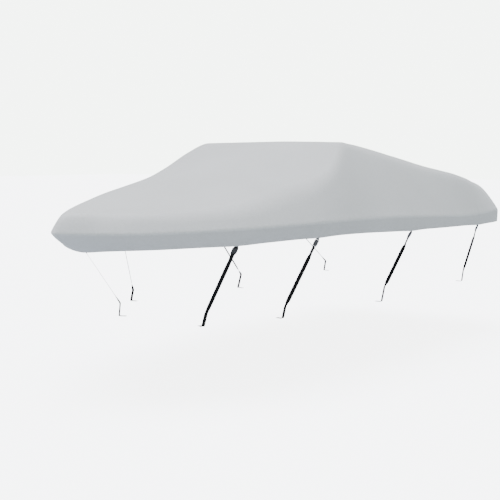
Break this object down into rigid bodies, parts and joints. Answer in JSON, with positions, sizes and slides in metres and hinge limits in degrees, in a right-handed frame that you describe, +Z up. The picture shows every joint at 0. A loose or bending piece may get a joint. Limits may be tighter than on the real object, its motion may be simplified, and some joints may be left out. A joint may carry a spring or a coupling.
{
  "type": "boat cover",
  "caption": "Fitted trailerable boat cover of taut grey cloth: peak over the windshield, gunwale crease, corded hem, and webbing straps with side-release buckles.",
  "frame": {"origin": "on the centreline, at the cloth's underside over the middle of the windshield, where the boat holds it up", "axes": "+X aft along the boat, +Y to starboard, +Z up"},
  "size_m": [5.0608, 2.264, 1.4067],
  "materials": {
    "cover_cloth": "matte",
    "black_webbing": "matte",
    "black_plastic": "satin"
  },
  "bodies": {
    "root": {"cover": "cover_cloth", "tab_port_bow": "black_webbing", "socket_port_bow": "black_plastic", "plug_port_bow": "black_plastic", "strap_port_bow": "black_webbing", "tab_port_forward": "black_webbing", "socket_port_forward": "black_plastic", "plug_port_forward": "black_plastic", "strap_port_forward": "black_webbing", "tab_port_mid": "black_webbing", "socket_port_mid": "black_plastic", "plug_port_mid": "black_plastic", "strap_port_mid": "black_webbing", "tab_port_stern": "black_webbing", "socket_port_stern": "black_plastic", "plug_port_stern": "black_plastic", "strap_port_stern": "black_webbing", "tab_starboard_bow": "black_webbing", "socket_starboard_bow": "black_plastic", "plug_starboard_bow": "black_plastic", "strap_starboard_bow": "black_webbing", "tab_starboard_forward": "black_webbing", "socket_starboard_forward": "black_plastic", "plug_starboard_forward": "black_plastic", "strap_starboard_forward": "black_webbing", "tab_starboard_mid": "black_webbing", "socket_starboard_mid": "black_plastic", "plug_starboard_mid": "black_plastic", "strap_starboard_mid": "black_webbing", "tab_starboard_stern": "black_webbing", "socket_starboard_stern": "black_plastic", "plug_starboard_stern": "black_plastic", "strap_starboard_stern": "black_webbing"}
  },
  "joints": []
}
